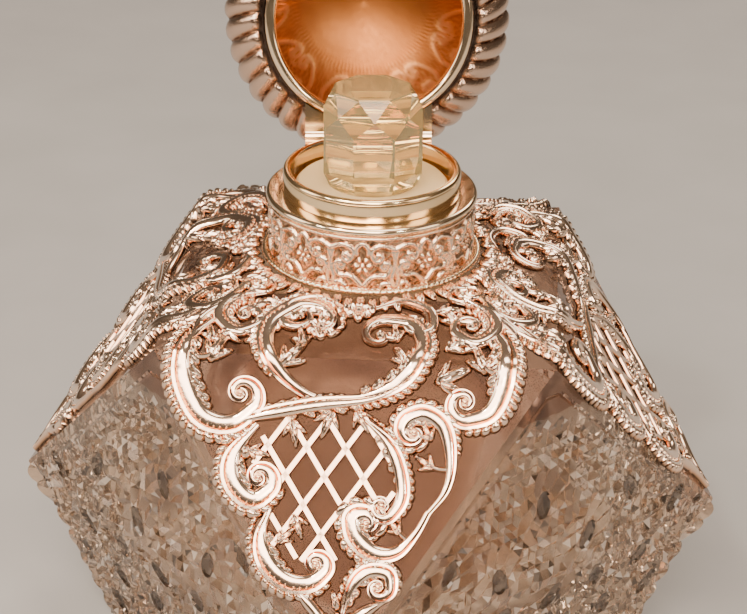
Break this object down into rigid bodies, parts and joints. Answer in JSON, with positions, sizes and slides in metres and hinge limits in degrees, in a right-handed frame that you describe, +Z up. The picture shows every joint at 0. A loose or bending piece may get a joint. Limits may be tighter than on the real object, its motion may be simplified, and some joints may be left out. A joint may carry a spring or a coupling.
{
  "type": "scent bottle",
  "caption": "Square cut-glass scent bottle with pierced silver shoulder mounts, a hinged silver dome lid shown open, and an inner glass stopper.",
  "frame": {"origin": "centre of the bottle's flat underside", "axes": "+Z up through the neck, +Y to the back, where the lid's hinge is, +X to the right as seen from the front; the collar, hinge and lid sit turned 6.5 degrees about +Z"},
  "size_m": [0.1386, 0.1386, 0.1488],
  "materials": {
    "cut_glass": "clear, cut and polished",
    "stopper_glass": "clear, faceted and polished",
    "plaster": "matt, cast",
    "embossed_silver": "embossed, darkened in the ground",
    "polished_silver": "polished, softly worn",
    "silver_gilt": "gilded and polished",
    "pierced_silver": "pierced and chased, polished on the high parts"
  },
  "bodies": {
    "bottle": {"glass_body": "cut_glass", "plaster_bedding": "plaster", "collar_band": "embossed_silver", "collar_foot_wire": "polished_silver", "collar_flange": "polished_silver", "collar_bezel": "silver_gilt", "front_mount": "pierced_silver", "right_mount": "pierced_silver", "back_mount": "pierced_silver", "left_mount": "pierced_silver", "collar_hinge_bracket": "polished_silver", "hinge_pin": "polished_silver"},
    "stopper": {"glass_stopper": "stopper_glass"},
    "lid": {"lid_rim": "polished_silver", "lid_hinge_leaf": "polished_silver", "lid_dome": "embossed_silver"}
  },
  "joints": [
    {"name": "lid_hinge", "type": "hinge", "parent": "bottle", "child": "lid", "pos_m": [-0.0026, 0.02285, 0.101], "axis": [0.9936, 0.1132, 0], "range_deg": [0, 102]},
    {"name": "stopper_lift", "type": "slide", "parent": "bottle", "child": "stopper", "axis": [0, 0, 1], "range_m": [0, 0.012]}
  ]
}
